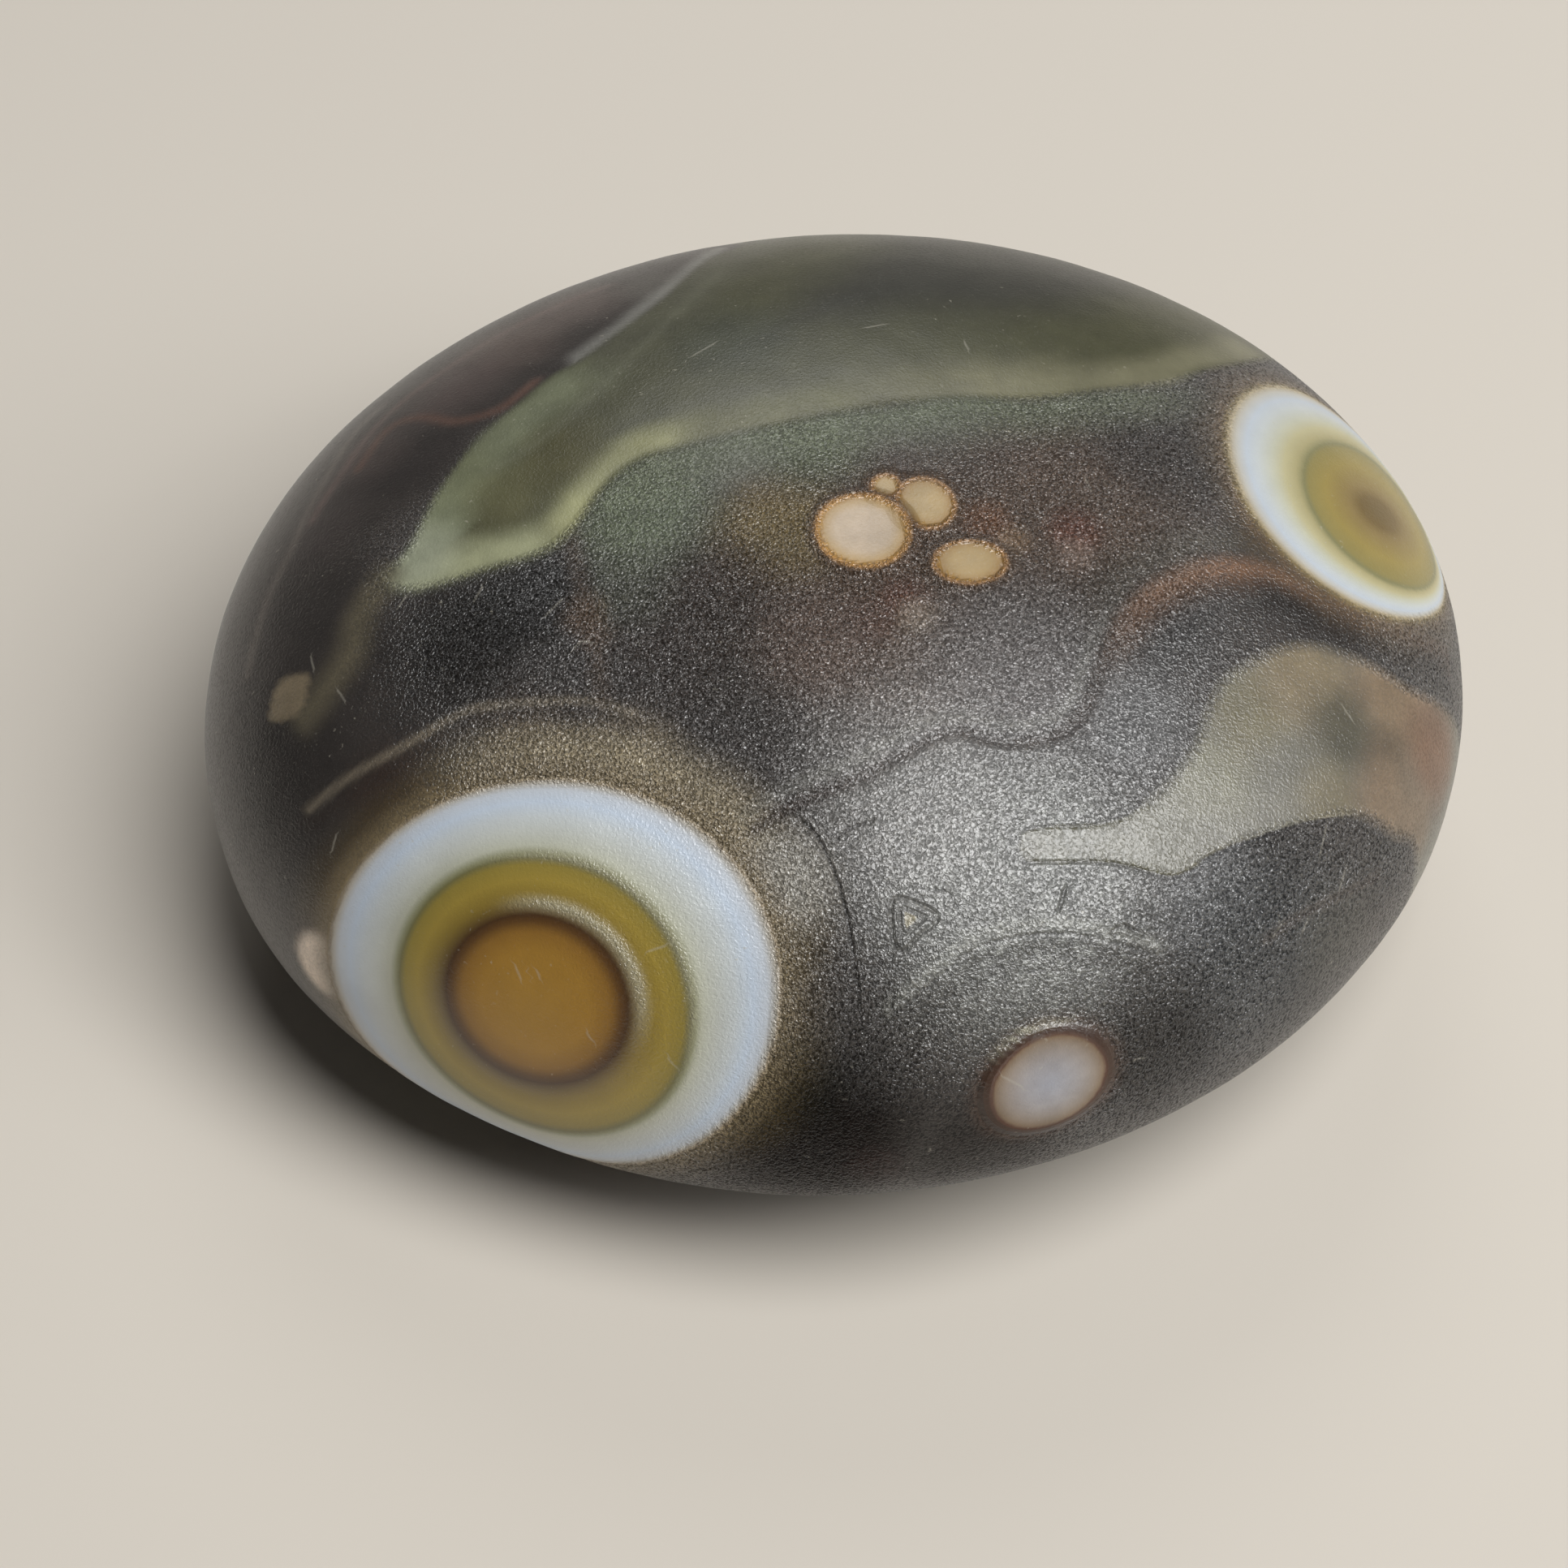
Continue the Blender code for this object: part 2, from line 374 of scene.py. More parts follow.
# The green tongue's pale rim, by shares of the way along its edge: colour, strength and half width
RIM_PARTS = (
    (-0.03, 0.10, "4f4f3f", 0.8, 0.7), (0.10, 0.155, "70745c", 0.85, 0.8), (0.155, 0.20, "7f846a", 0.85, 0.8),
    (0.20, 0.255, "9d9f7d", 0.95, 0.6), (0.255, 0.29, "9e9e75", 0.9, 0.5), (0.29, 0.31, "8a895f", 0.9, 0.5),
    (0.31, 0.365, "5c5b38", 0.85, 0.6), (0.365, 0.39, "605e45", 0.85, 0.8), (0.39, 0.43, "77745a", 0.85, 0.9),
    (0.43, 0.52, "75725a", 0.85, 0.6),
)
FRINGE = (0.27, 0.46)  # the part of its edge with a soft fringe outside
BLURRED = (0.19, 0.28)  # the part with a soft rim

# Bands of the hidden sides: how far across them, and colour
HIDDEN_BANDS = {
    -14.0: "2d2926", -11.5: "3b3a33", -10.2: "4d4c3c", -9.4: "383530", -7.0: "2c2725", -5.2: "40332b",
    -4.4: "594c41", -3.9: "3c322d", -1.5: "2a2624", 0.8: "383731", 2.0: "57563f", 2.6: "3f3d33",
    4.5: "2b2827", 6.5: "463a2f", 7.4: "5b4f44", 8.0: "3a332e", 10.5: "2b2a2a", 13.0: "403c34",
    15.0: "2d2a27",
}

# Colours of the round marks by ring: 1 at the first ring, 2 at the second, then 1 more each millimetre.
# Before them, the count that the colours reach to, and where the ground shows wholly and not at all.
MARK_COLOURS = {
    "near_eye": (4.5, 3.9, 3.0, {
        0.0: "a27b31", 0.6: "9e762c", 0.82: "8a6426", 0.94: "5b3d18", 1.02: "452c10", 1.1: "5f4a22",
        1.3: "85702e", 1.6: "9c8638", 1.85: "8f7e38", 1.96: "6f6b42", 2.03: "8f8f70", 2.12: "b9baa8",
        2.3: "c2c5bd", 2.5: "c6cccd", 2.7: "c3cfdd", 2.86: "c2c8cf", 2.95: "b5b0a6", 3.02: "94866f",
        3.12: "74664c", 3.9: "5b4d3d",
    }),
    "far_eye": (4.5, 3.7, 3.0, {
        0.0: "6b5a38", 0.6: "705d38", 1.0: "88754a", 1.5: "97864c", 1.88: "8c8150", 1.98: "807d58",
        2.1: "a89f76", 2.25: "b7b08a", 2.4: "bcbca8", 2.6: "bfc4c3", 2.75: "bac2ca", 2.88: "bab7ae",
        2.97: "a89b80", 3.06: "7a6b4a", 3.3: "66543f", 3.9: "54473a",
    }),
    "small_spots": (2.0, 1.5, 1.05, {
        0.0: "a38d64", 0.6: "9e865a", 0.85: "937545", 0.96: "7d5c2c", 1.04: "997349", 1.18: "503c2a",
        1.5: "483828",
    }),
    "large_spot": (2.0, 1.5, 1.05, {
        0.0: "b3a18b", 0.6: "af9c83", 0.82: "a48a60", 0.93: "997641", 1.02: "a07743", 1.18: "54402f",
        1.5: "4c3c30",
    }),
    "front_spot": (2.0, 1.9, 1.2, {
        0.0: "a2a4ae", 0.45: "9c9899", 0.8: "8e8174", 0.94: "7d6953", 1.0: "55382a", 1.1: "3c2619",
        1.5: "3f2c20", 1.9: "332822",
    }),
}

# Where the raised rims carry a painted highlight, and the side where the near eye's halo is paler with a
# painted sheen: degrees round and up
NEAR_EYE_LIT_SIDE = (24.0, 25.0)
FRONT_SPOT_LIT_SIDE = (112.0, 35.0)
HALO_SHEEN_SIDE = (50.0, 20.0)
BAND_WAY = (-60.0, 38.0)  # the way across the hidden bands

GROUND_COLOUR = "332e2b"
# The pale colour of the painted highlight on the raised rims
RIM_HIGHLIGHT_COLOUR = "aeaa92"
FROST_COLOUR = "8c8d88"
# Dark colour of the cracks, partly painted shade in their grooves
CRACK_AND_SHADE_COLOUR = "1d1916"
FLECK_COLOUR = "b9b4a4"
SCRATCH_COLOUR = "b9b4a6"
TRIANGLE_COLOUR = "a89f84"


def hex_colour(code):
    """An sRGB colour such as "8a6b2d" as linear red, green and blue."""
    shares = [int(code[start:start + 2], 16) / 255 for start in (0, 2, 4)]
    return np.array([s / 12.92 if s <= 0.04045 else ((s + 0.055) / 1.055) ** 2.4 for s in shares])


def smooth_step(low, high, value):
    """0 up to low and 1 from high on."""
    share = np.clip((value - low) / (high - low), 0.0, 1.0)
    return share * share * (3.0 - 2.0 * share)


def smooth_drop(start, end, value):
    """1 up to start and 0 from end on."""
    return 1.0 - smooth_step(start, end, value)


def stripe(distance, half_width, softness):
    """1 within half_width of a line and 0 beyond it, with an edge as wide as softness."""
    return smooth_drop(half_width - softness / 2, half_width + softness / 2, np.abs(distance))


def toward(azimuth, elevation):
    """The unit vector that many degrees round from +X and up from level."""
    azimuth, elevation = math.radians(azimuth), math.radians(elevation)
    level = math.cos(elevation)
    return Vector((math.cos(azimuth) * level, math.sin(azimuth) * level, math.sin(elevation)))


def lengths(vectors):
    return np.linalg.norm(vectors, axis=1)


# The form


def lens_points(directions):
    """The unworn pebble's points towards unit directions: crown and belly meet at one outline."""
    level = np.hypot(directions[:, 0], directions[:, 1])
    reach = (level**FULLNESS + np.abs(directions[:, 2]) ** FULLNESS) ** (-1 / FULLNESS)
    height = np.where(directions[:, 2] > 0, CROWN, BELLY)
    halves = np.broadcast_arrays(HALF_LENGTH, HALF_WIDTH, height)
    return directions * reach[:, None] * np.stack(halves, 1)


def crown_normals(points):
    spread = np.hypot(points[:, 0] / HALF_LENGTH, points[:, 1] / HALF_WIDTH) ** (FULLNESS - 2)
    rise = np.maximum(points[:, 2], 0.0) ** (FULLNESS - 1) / CROWN**FULLNESS
    normals = np.stack(
        [spread * points[:, 0] / HALF_LENGTH**2, spread * points[:, 1] / HALF_WIDTH**2, rise], 1
    )
    return normals / np.maximum(np.linalg.norm(normals, axis=1, keepdims=True), 1e-9)


def crown_point(x, y):
    spread = math.hypot(x / HALF_LENGTH, y / HALF_WIDTH)
    return np.array((x, y, CROWN * (1 - spread**FULLNESS) ** (1 / FULLNESS)))


def swell(points, swelling):
    """Lifts what lies within an eye, most at its middle and not at all at its edge."""
    x, y, radius, rise = swelling
    share = np.minimum(lengths(points - crown_point(x, y)) / radius, 1.0)
    return points + crown_normals(points) * (rise * (1 - share**2) ** 2)[:, None]


def wear(points, side):
    """Presses points back to a flat side. Within its softness they go back by a parabola."""
    azimuth, elevation, distance, softness = side
    normal = np.array(toward(azimuth, elevation))
    over = points @ normal - distance
    eased = np.clip(over + softness, 0.0, 2 * softness) ** 2 / (4 * softness)
    return points - normal * np.where(over >= softness, over, eased)[:, None]


def pebble_points(directions):
    points = lens_points(directions)
    for swelling in SWELLINGS.values():
        points = swell(points, swelling)
    for side in WORN_SIDES.values():
        points = wear(points, side)
    for axis in (0, 1):
        points[:, axis] -= (points[:, axis].min() + points[:, axis].max()) / 2
    points[:, 2] = np.maximum(points[:, 2] + BELLY - REST_WEAR, 0.0)
    return points


def cube_sphere():
    """Unit directions through a gridded cube's surface, and the quads between them."""
    steps = np.arange(CUBE_STEPS + 1)
    across, up = np.meshgrid(steps, steps, indexing="ij")
    corners = []
    for axis in range(3):
        for end in (0, CUBE_STEPS):
            lattice = np.empty(across.shape + (3,), int)
            lattice[..., axis] = end
            lattice[..., (axis + 1) % 3] = across
            lattice[..., (axis + 2) % 3] = up
            quads = [lattice[:-1, :-1], lattice[1:, :-1], lattice[1:, 1:], lattice[:-1, 1:]]
            if end == 0:
                quads.reverse()
            corners.append(np.stack(quads, axis=2).reshape(-1, 3))
    lattice, quads = np.unique(np.concatenate(corners), axis=0, return_inverse=True)
    directions = np.tan(math.pi / 4 * (2 * lattice / CUBE_STEPS - 1))
    directions /= np.linalg.norm(directions, axis=1, keepdims=True)
    directions[:, 2] = directions[:, 2] * POLE_STRETCH + CROWN_SHARE
    return directions / np.linalg.norm(directions, axis=1, keepdims=True), quads.reshape(-1, 4)


# Places and lines on the stone

camera_forward = -toward(math.degrees(CAMERA_AZIMUTH) - 90, math.degrees(CAMERA_ELEVATION))
camera_right = Vector((math.cos(CAMERA_AZIMUTH), math.sin(CAMERA_AZIMUTH), 0.0))
camera_up = camera_right.cross(camera_forward)
camera_place = CAMERA_AIM - camera_forward * CAMERA_DISTANCE
stone_middle = Vector((0.0, 0.0, BELLY - REST_WEAR))
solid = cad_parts[PEBBLE_NODE].data
tree = BVHTree.FromPolygons([v.co for v in solid.vertices], [p.vertices[:] for p in solid.polygons])


def seen_at(place):
    """The solid's point at a picture place."""
    focal = LENS_MM / SENSOR_MM * PICTURE_SIDE
    x, y = ((pixel - PICTURE_SIDE / 2) / focal for pixel in place)
    point = tree.ray_cast(camera_place, camera_forward + camera_right * x - camera_up * y)[0]
    if point is None:
        raise ValueError(f"the picture place {place} misses the stone")
    return point


def above(middle):
    """The solid's topmost point over a place in plan, in millimetres, and the way it faces there."""
    x, y = middle
    point, normal = tree.ray_cast(Vector((x * MM, y * MM, 1.0)), Vector((0.0, 0.0, -1.0)))[:2]
    return np.array(point), np.array(normal)


class Line:
    """A smooth line on the stone through its anchors. Its left side, seen from outside, is positive."""

    STEPS = 4

    def __init__(self, anchors, closed=False):
        if closed:
            anchors = [anchors[-1], *anchors, anchors[0], anchors[1]]
        else:
            anchors = [2 * anchors[0] - anchors[1], *anchors, 2 * anchors[-1] - anchors[-2]]
        curve = [
            self.between(anchors[i:i + 4], step / self.STEPS)
            for i in range(len(anchors) - 3)
            for step in range(self.STEPS)
        ]
        laid = [tree.find_nearest(point) for point in [*curve, anchors[-2]]]
        self.points = np.array([hit[0] for hit in laid])
        self.normals = np.array([hit[1] for hit in laid])

    @staticmethod
    def between(four, share):
        """A Catmull-Rom curve's point between the second and third of four anchors."""
        a, b, c, d = four
        return 0.5 * (
            2 * b + (c - a) * share
            + (2 * a - 5 * b + 4 * c - d) * share**2 + (3 * b - a - 3 * c + d) * share**3
        )

    def measure(self, points):
        """For each point its signed distance from the line, its share of the way along, and how far past
        an end of the line it lies."""
        nearest = np.full(len(points), np.inf)
        lean = np.zeros(len(points))
        along = np.zeros(len(points))
        past = np.zeros(len(points))
        steps = lengths(np.diff(self.points, axis=0))
        begun = np.concatenate([[0.0], np.cumsum(steps)]) / steps.sum()
        for i, length in enumerate(steps):
            start, run = self.points[i], (self.points[i + 1] - self.points[i]) / length
            way = (points - start) @ run
            share = np.clip(way / length, 0.0, 1.0)
            away = points - start - share[:, None] * run * length
            distance = lengths(away)
            tilt = away @ np.cross(self.normals[i], run) / np.maximum(distance, 1e-9)
            even = np.abs(distance - nearest) < 1e-7
            closer = np.where(even, np.abs(tilt) > np.abs(lean), distance < nearest)
            nearest[closer] = distance[closer]
            lean[closer] = tilt[closer]
            along[closer] = begun[i] + share[closer] * length / steps.sum()
            past[closer] = np.abs(way[closer] - share[closer] * length)
        return np.where(lean < 0, -nearest, nearest), along, past


def ring_distances(points, mark):
    """How far outside each of a round mark's rings the points lie, in metres, negative inside."""
    middle, rings = ROUND_MARKS[mark]
    place, normal = above(middle)
    level = np.cross((0.0, 0.0, 1.0), normal)
    level /= np.linalg.norm(level)
    slope = np.cross(normal, level)
    away = points - place
    distances = []
    for shift_level, shift_slope, long_half, short_half, turn in rings:
        turn = math.radians(turn)
        u = away @ level - shift_level * MM
        v = away @ slope - shift_slope * MM
        mean = (long_half + short_half) / 2 * MM
        reach = np.sqrt(
            ((u * math.cos(turn) + v * math.sin(turn)) / (long_half * MM)) ** 2
            + ((v * math.cos(turn) - u * math.sin(turn)) / (short_half * MM)) ** 2
            + (away @ normal / mean) ** 2
        )
        distances.append((reach - 1.0) * mean)
    return distances


def ring_count(distances, mark):
    """0 at a mark's middle, 1 at its first ring, 2 at its second and so on, then 1 more each millimetre."""
    first = ROUND_MARKS[mark][1][0]
    count = distances[0] / ((first[2] + first[3]) / 2 * MM) + 1.0
    for number, (inner, outer) in enumerate(zip(distances, distances[1:]), start=1):
        share = inner / np.maximum(inner - outer, 1e-9)
        count = np.where(inner > 0, number + np.minimum(share, 1.0), count)
    return np.where(distances[-1] > 0, len(distances) + distances[-1] / MM, count)


class Skin:
    """The stone's points before relief, and how they lie to its marks."""

    def __init__(self, points, normals):
        self.points = points
        self.facing = normals @ -np.array(camera_forward)

    def distance(self, place):
        return lengths(self.points - np.array(seen_at(place)))

    def nearness(self, place, radius, core, rim):
        """1 round a picture place and 0 away from it, between two shares of the radius."""
        return smooth_drop(core, rim, self.distance(place) / (radius * MM))

    @cache
    def line(self, name):
        return Line([seen_at(place) for place in PICTURE_LINES[name]]).measure(self.points)

    @cache
    def loop(self, name):
        """A closed band's edge: the signed distance inside it, and the share of the way round."""
        seen = [seen_at(place) for place in PICTURE_LOOPS[name]]
        hidden = [tree.ray_cast(stone_middle, toward(*way))[0] for way in HIDDEN_LOOPS.get(name, ())]
        return Line(seen + hidden, closed=True).measure(self.points)[:2]

    @cache
    def rings(self, mark):
        return ring_distances(self.points, mark)

    def count(self, mark):
        return ring_count(self.rings(mark), mark)

    def wander(self, period, seed):
        """Smooth noise over the stone, from about -1 to 1, that changes over the given period."""
        shift = Vector((seed * 7.3, seed * 3.1, seed * 5.7))
        return np.array([noise.noise(Vector(point) / period + shift) for point in self.points.tolist()])

    def strokes(self, lines):
        """Lines of unequal strength as one: signed distance from the nearest, and its strength."""
        nearest = np.full(len(self.points), STROKE_LIMIT)
        strength = np.zeros(len(self.points))
        for weight, places in lines:
            distance, _, past = Line([seen_at(place) for place in places]).measure(self.points)
            closer = np.abs(distance) < np.abs(nearest)
            nearest = np.where(closer, distance, nearest)
            fade = weight * smooth_drop(0.0, STROKE_TAPER, past)
            fade *= smooth_drop(*STROKE_REACH, np.abs(distance))
            strength = np.where(closer, fade, strength)
        return nearest, strength

    def side(self, mark, azimuth, elevation):
        """How much the points lie to one side of a round mark, 1 straight that way."""
        away = self.points - above(ROUND_MARKS[mark][0])[0]
        return away @ np.array(toward(azimuth, elevation)) / np.maximum(lengths(away), 1e-9)


# The skin's relief


def plateau(edge, rise, slope):
    """Raised inside an edge and a little past it, then falling over a slope outside. In millimetres."""
    return rise * MM * smooth_drop(0.0, slope * MM, edge - 0.05 * MM)


def groove(edge, place, half_width, softness, depth):
    return -depth * MM * stripe(edge - place * MM, half_width * MM, softness * MM)


def relief(skin):
    """How far each point of the skin rises over SKIN_DEPTH's level."""
    rise = UNEVENNESS * skin.wander(UNEVEN_PERIOD, 1)
    rise += 0.4 * UNEVENNESS * skin.wander(UNEVEN_PERIOD / 3, 2)
    pupil, olive, white = skin.rings("near eye")
    rise += plateau(pupil, 0.10, 0.75)
    rise += plateau(olive, 0.05, 0.50)
    rise += groove(white, 0.18, 0.1, 0.2, 0.03)
    for name in SPOT_GROUP:
        rise += plateau(skin.rings(name)[0], 0.075, 0.42)
    rise += plateau(skin.rings("front spot")[0], 0.08, 0.36)
    rise += groove(skin.rings("front spot")[0], 0.65, 0.1, 0.25, 0.02)
    cracks, strength = skin.strokes(PICTURE_CRACKS.values())
    rise += strength * groove(cracks, 0.0, 0.04, 0.24, 0.025)
    for name, (drop, width) in TERRACES.items():
        line, _, past = skin.line(name)
        terrace = smooth_step(-width * MM, 0.0, line) * smooth_drop(0.0, 2.2 * MM, line)
        rise += drop * MM * terrace * smooth_drop(0.0, 1.0 * MM, past)
    return rise


# The stone's colours


class Paint:
    """One colour for each point of the skin, painted over in turn."""

    def __init__(self, skin, colour, sway=0.0):
        self.skin = skin
        self.sway = sway
        self.colours = np.tile(hex_colour(colour), (len(skin.points), 1))

    def over(self, colour, share):
        self.colours += (hex_colour(colour) - self.colours) * np.clip(share, 0.0, 1.0)[:, None]

    def patches(self, table, within=1.0):
        for place, radius, colour, strength in table:
            self.over(colour, strength * within * self.skin.nearness(place, radius, 0.25, 1.15))

    def stripes(self, part, within=1.0):
        for name, shift, swaying, half_width, softness, fade, colour, strength in STRIPES[part]:
            line, _, past = self.skin.line(name)
            share = stripe(line + shift * MM + swaying * self.sway, half_width * MM, softness * MM)
            ends = smooth_drop(0.0, fade * MM, past) if fade else 1.0
            self.over(colour, strength * within * share * ends)


def window(along, start, end, softness):
    """1 between two shares of the way along a line."""
    return smooth_step(start - softness, start + softness, along) * smooth_drop(
        end - softness, end + softness, along
    )


def hidden_share(skin):
    """0 on what the camera sees well, rising to 1 past the outline."""
    return smooth_drop(-0.15, 0.22, skin.facing)


def paint_near_halo(paint):
    """Brown and olive round the near eye, with a painted sheen paler to the upper right and beside its upper
    right edge, and the arc over it.
    """
    white = paint.skin.rings("near eye")[2] + paint.sway
    side = paint.skin.side("near eye", *HALO_SHEEN_SIDE)
    paint.over("4c4029", 0.85 * smooth_drop(0.3 * MM, 2.0 * MM, white))
    paint.over("665c42", 0.8 * smooth_drop(0.0, 1.0 * MM, white))
    # Painted sheen: the halo paler on its upper right side, which faces the light
    paint.over("988b70", 0.68 * smooth_drop(0.9 * MM, 2.6 * MM, white) * smooth_step(0.45, 0.97, side))
    # Painted sheen beside the eye's upper right edge
    paint.patches([HALO_PAINTED_SHEEN])
    paint.stripes("near arc")


def paint_sage(paint):
    """The sage-green glow right of the seam, under the tongue's lower edge."""
    right = smooth_step(-0.1 * MM, 0.5 * MM, paint.skin.line("seam")[0] + 0.4 * paint.sway)
    for place, radius, strength in PICTURE_SAGE:
        paint.over("555d47", strength * right * paint.skin.nearness(place, radius, 0.2, 1.2))
    paint.stripes("seam")


def paint_hidden_bands(paint):
    """Soft bands across the sides out of the camera's sight, as the stone's edges begin them."""
    skin = paint.skin
    across = skin.points @ np.array(toward(*BAND_WAY)) + 1.1 * MM * skin.wander(9.0 * MM, 11)
    across += 0.35 * MM * skin.wander(2.5 * MM, 12)
    places = np.array(list(HIDDEN_BANDS)) * MM
    colours = np.array([hex_colour(code) for code in HIDDEN_BANDS.values()])
    bands = np.stack([np.interp(across, places, colours[:, channel]) for channel in range(3)], 1)
    paint.colours += (bands - paint.colours) * hidden_share(skin)[:, None]


def paint_tongue(paint):
    """The green band: a pale rim round a dark olive fill, green-grey beyond, and a faint tail."""
    edge, along = paint.skin.loop("green tongue")
    hidden = hidden_share(paint.skin)
    soft = edge + paint.sway
    fringe = window(along, *FRINGE, 0.02)
    blur = np.maximum(fringe, window(along, *BLURRED, 0.02)) + 3.0 * hidden
    inside = smooth_step(-0.12 - 0.4 * blur, 0.25 + 0.2 * blur, (edge + 0.25 * paint.sway) / MM)
    inside *= 1 - 0.55 * hidden
    paint.over("33332c", inside)
    paint.over("454530", inside * smooth_drop(3.0 * MM, 6.5 * MM, soft))
    for start, end, colour, strength, half in RIM_PARTS:
        part = window(along, start, end, 0.01) * smooth_step(-0.2 * MM, 0.4 * MM, soft)
        paint.over(colour, strength * part * smooth_drop(half * MM, 3.4 * half * MM, soft))
    paint.patches(TONGUE_PATCHES, within=inside)
    paint.stripes("tongue", within=inside)
    outside = smooth_step(-0.3 * MM, 0.5 * MM, -soft) * smooth_drop(0.3 * MM, 2.6 * MM, -soft)
    paint.over("5a604b", 0.8 * fringe * outside)
    paint.stripes("tail")


def paint_wavy_line(paint):
    """The reddish wavy line, with a painted highlight above and painted shade along its near part, greenish
    grey above its far end and brown below it.
    """
    along = paint.skin.line("wavy line")[1]
    far = smooth_step(0.42, 0.6, along)
    paint.stripes("wavy, grey", within=far)
    paint.stripes("wavy, near", within=1 - far)
    paint.stripes("wavy, far", within=far)
    paint.stripes("wavy, brown", within=far * smooth_drop(0.9, 1.0, along))


def paint_ground(skin):
    """The stone's body colour at each point, with painted sheen and shade in places, without its eyes, spots
    and cream band.
    """
    paint = Paint(skin, GROUND_COLOUR, sway=0.35 * MM * skin.wander(2.5 * MM, 3))
    paint.patches(PICTURE_PATCHES)
    paint.stripes("upper left")
    paint_near_halo(paint)
    paint_sage(paint)
    paint_hidden_bands(paint)
    paint_tongue(paint)
    paint_wavy_line(paint)
    paint.stripes("low")
    paint.over("f3e0cc", 0.95 * smooth_drop(0.8 * MM, 1.35 * MM, skin.distance(KNOB_PLACE)))
    paint.over("7a6d57", 0.95 * smooth_step(-0.1 * MM, 0.12 * MM, skin.loop("left rhomb")[0]))
    paint.over("4a3c2a", 0.75 * smooth_drop(0.2 * MM, 1.6 * MM, skin.rings("far eye")[2] + paint.sway))
    return paint.colours


def paint_cream_band(skin):
    """The cream band's own colours, and its share: 0 outside its edge, 1 inside."""
    paint = Paint(skin, "68655a")
    paint.patches(CREAM_PATCHES)
    edge = skin.loop("cream band")[0] + 0.1 * (0.5 * MM * skin.wander(2.0 * MM, 5))
    from_crisp = np.abs(skin.line("cream band, crisp edge")[0])
    softness = 0.12 * MM + 1.3 * MM * smooth_step(0.1 * MM, 1.6 * MM, from_crisp)
    near = skin.distance(CREAM_MIDDLE) < CREAM_REACH * MM
    return paint.colours, near * np.clip(0.5 + edge / softness, 0.0, 1.0)


# The skin's grain


def grain_strength(skin):
    """How deep the skin's grain is. It is deepest in the dark ground, and faint on bands and marks."""
    x, y = skin.points[:, 0], skin.points[:, 1]
    strength = np.full(len(x), GROUND_GRAIN)
    for place, radius, level in PICTURE_GRAIN:
        strength += (level - strength) * skin.nearness(place, radius, 0.35, 1.1)
    for name, level in BAND_GRAIN.items():
        strength += (level - strength) * smooth_step(-0.15 * MM, 0.3 * MM, skin.loop(name)[0])
    strength += (EDGE_GRAIN - strength) * smooth_drop(-0.05, 0.32, skin.facing)
    strength += (LEFT_GRAIN - strength) * smooth_drop(-17.0 * MM, -11.0 * MM, x)
    strength += (EDGE_GRAIN - strength) * smooth_step(6.5 * MM, 10.5 * MM, y - 0.25 * x)
    near_level = 0.2 + 0.4 * smooth_step(-12.0 * MM, -7.0 * MM, x)
    for mark, level, rings in (
        ("near eye", near_level, 3.0), ("far eye", MARK_GRAIN, 3.0), ("front spot", MARK_GRAIN, 1.4),
        *((spot, MARK_GRAIN, 1.0) for spot in SPOT_GROUP),
    ):
        strength += (level - strength) * smooth_drop(rings - 0.1, rings + 0.05, skin.count(mark))
    return strength


def worn_rims(skin):
    """Painted highlights on the raised edges of the near eye, right and back, and over the front spot, where
    they catch the light.
    """
    pupil, olive, _ = skin.rings("near eye")
    front = skin.rings("front spot")[0]
    near_eye = np.maximum(
        0.75 * stripe(pupil - 0.42 * MM, 0.14 * MM, 0.5 * MM), 0.6 * stripe(olive, 0.08 * MM, 0.4 * MM)
    )
    near_eye *= smooth_step(0.15, 0.85, skin.side("near eye", *NEAR_EYE_LIT_SIDE))
    front_spot = 0.9 * stripe(front - 0.40 * MM, 0.06 * MM, 0.2 * MM)
    front_spot *= smooth_step(0.6, 0.97, skin.side("front spot", *FRONT_SPOT_LIT_SIDE))
    return np.maximum(near_eye, front_spot)


def shine_under_painted_shade(skin):
    """1 where the skin reflects in full, less where painted shade dims its reflection."""
    share = np.ones(len(skin.points))
    for place, radius, level in PICTURE_REFLECTION_SHADE:
        share = np.minimum(share, 1 - (1 - level) * skin.nearness(place, radius, 0.3, 1.1))
    return share


# The material


